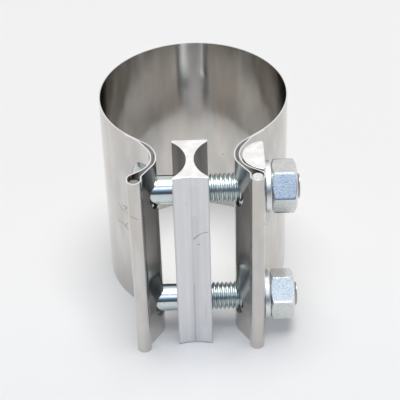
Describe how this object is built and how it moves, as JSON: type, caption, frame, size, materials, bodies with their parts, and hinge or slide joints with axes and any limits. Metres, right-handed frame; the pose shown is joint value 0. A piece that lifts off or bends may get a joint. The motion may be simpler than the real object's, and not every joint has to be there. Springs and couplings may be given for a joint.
{
  "type": "exhaust pipe clamp",
  "caption": "Wide exhaust band clamp: a folded sheet band with a looped gap, a concave spacer block, a half-round bar and cross bolts with washers and nuts.",
  "frame": {"origin": "on the axis of the pipe, at the lower end of the band", "axes": "+Z along the pipe's axis; -Y out through the gap of the band; +X along the bolts, from the heads to the nuts"},
  "size_m": [0.0683, 0.0854, 0.0762],
  "materials": {
    "stainless": "polished stainless strip with fine scratches",
    "rod_steel": "sheared steel wire",
    "block_aluminium": "extruded, satin",
    "bar_aluminium": "extruded, bright saw cut",
    "zinc": "bright zinc plate"
  },
  "bodies": {
    "clamp_frame": {"band": "stainless", "rod_left": "rod_steel", "rod_right": "rod_steel", "d_bar": "bar_aluminium", "bolt_upper": "zinc", "bolt_lower": "zinc"},
    "spacer_block": {"i_block": "block_aluminium"},
    "upper_washer": {"washer_upper": "zinc"},
    "upper_nut": {"nut_upper": "zinc"},
    "lower_washer": {"washer_lower": "zinc"},
    "lower_nut": {"nut_lower": "zinc"}
  },
  "joints": [
    {"name": "block_slide", "type": "slide", "parent": "clamp_frame", "child": "spacer_block", "axis": [1, 0, 0], "range_m": [-0.009, 0.0125]},
    {"name": "upper_nut_travel", "type": "slide", "parent": "clamp_frame", "child": "upper_washer", "axis": [1, 0, 0], "range_m": [0, 0.01]},
    {"name": "upper_nut_turn", "type": "hinge", "parent": "upper_washer", "child": "upper_nut", "pos_m": [0.0252, -0.03775, 0.0627], "axis": [1, 0, 0], "range_deg": [0, 2390]},
    {"name": "lower_nut_travel", "type": "slide", "parent": "clamp_frame", "child": "lower_washer", "axis": [1, 0, 0], "range_m": [0, 0.01]},
    {"name": "lower_nut_turn", "type": "hinge", "parent": "lower_washer", "child": "lower_nut", "pos_m": [0.0252, -0.03775, 0.0135], "axis": [1, 0, 0], "range_deg": [0, 2390]}
  ],
  "couplings": [
    {"joint": "upper_nut_travel", "follows": "upper_nut_turn", "m_per_rad": 0.00023873},
    {"joint": "lower_nut_travel", "follows": "lower_nut_turn", "m_per_rad": 0.00023873}
  ]
}
